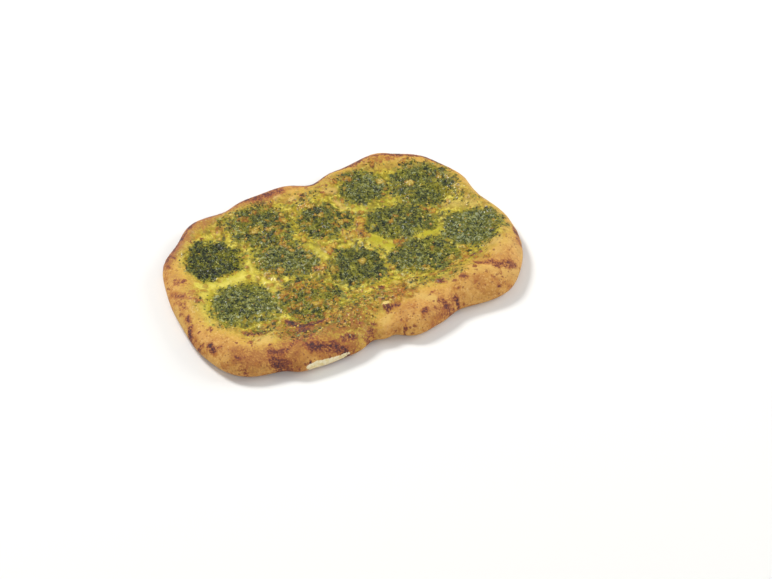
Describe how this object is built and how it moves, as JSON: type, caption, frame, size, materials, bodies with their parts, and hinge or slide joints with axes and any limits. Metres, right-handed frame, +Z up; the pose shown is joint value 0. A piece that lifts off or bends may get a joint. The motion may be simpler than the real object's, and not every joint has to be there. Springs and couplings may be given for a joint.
{
  "type": "naan bread with herb butter",
  "caption": "Flat hand-stretched naan with a puffed rim, a shallow dish and melted rounds of herb butter, lying flat as served.",
  "frame": {"origin": "under the middle of the bread's box, on the surface it lies on", "axes": "+X along the bread, +Y across it towards the far side of the picture, +Z up"},
  "size_m": [0.218, 0.1496, 0.0185],
  "materials": {
    "crust": "baked golden crust, matt, oily yellow in the dish",
    "herb_butter": "chopped green herbs in melted butter, moist"
  },
  "bodies": {
    "root": {"bread": "crust", "herb_butter_01": "herb_butter", "herb_butter_02": "herb_butter", "herb_butter_03": "herb_butter", "herb_butter_04": "herb_butter", "herb_butter_05": "herb_butter", "herb_butter_06": "herb_butter", "herb_butter_07": "herb_butter", "herb_butter_08": "herb_butter", "herb_butter_09": "herb_butter", "herb_butter_10": "herb_butter", "herb_butter_11": "herb_butter", "herb_butter_12": "herb_butter"}
  },
  "joints": []
}
